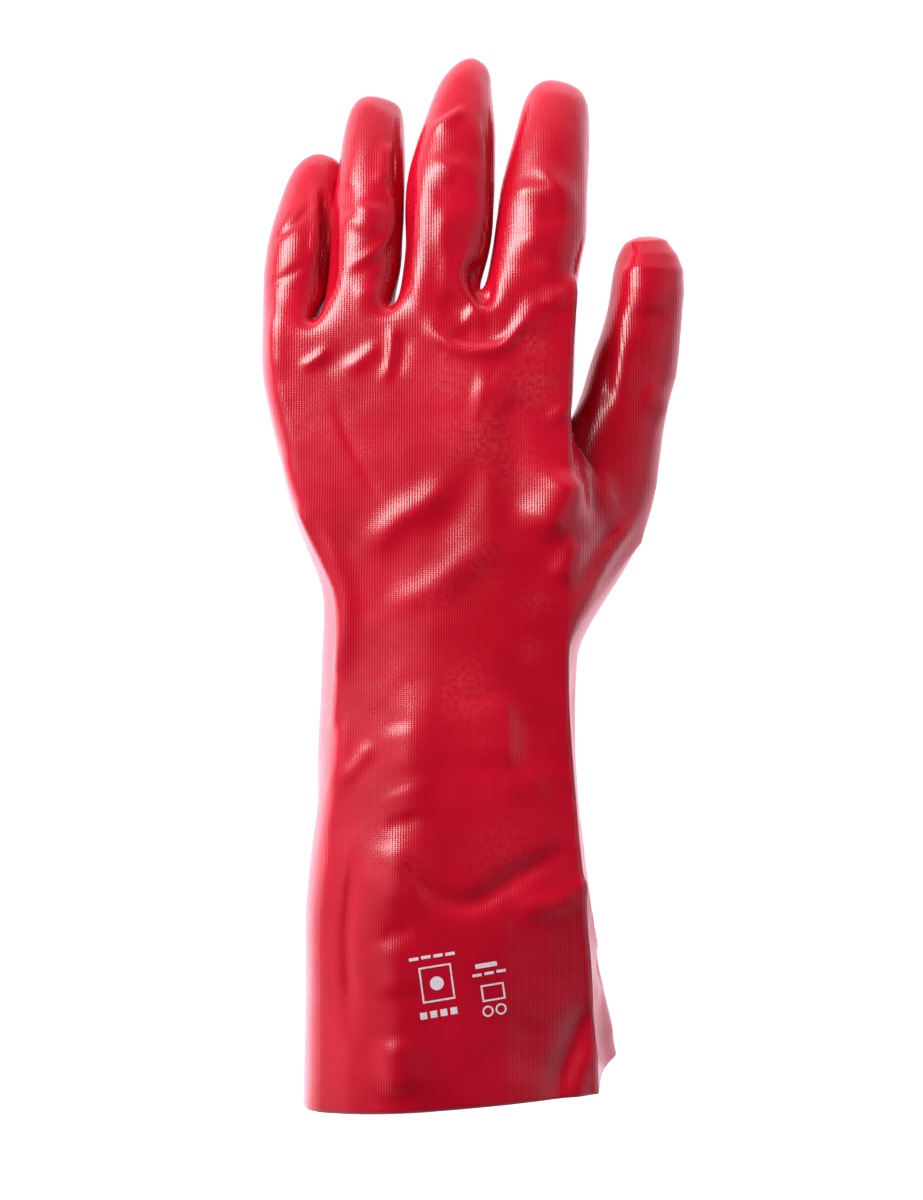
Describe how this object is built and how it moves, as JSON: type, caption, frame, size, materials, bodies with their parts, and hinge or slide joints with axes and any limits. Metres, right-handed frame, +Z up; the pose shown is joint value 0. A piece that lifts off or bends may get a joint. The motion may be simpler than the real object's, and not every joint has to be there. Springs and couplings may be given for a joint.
{
  "type": "pvc coated work glove",
  "caption": "Long-cuffed work glove for the left hand: a glossy red PVC coat over a knitted cotton liner, with an open cuff, soft folds and five fingers.",
  "frame": {"origin": "under the middle of the glove as it lies palm down, on the surface that it lies on", "axes": "+Y from the cuff's hem towards the fingertips, +X towards the thumb's side, +Z up, out of the back of the hand"},
  "size_m": [0.1398, 0.351, 0.0697],
  "materials": {
    "pvc_red": "glossy dipped coat with the knit showing faintly through",
    "cotton_knit": "matt jersey knit",
    "print_ink": "flat pad printed ink"
  },
  "bodies": {
    "root": {"pvc_coat": "pvc_red", "knit_liner": "cotton_knit"}
  },
  "joints": []
}
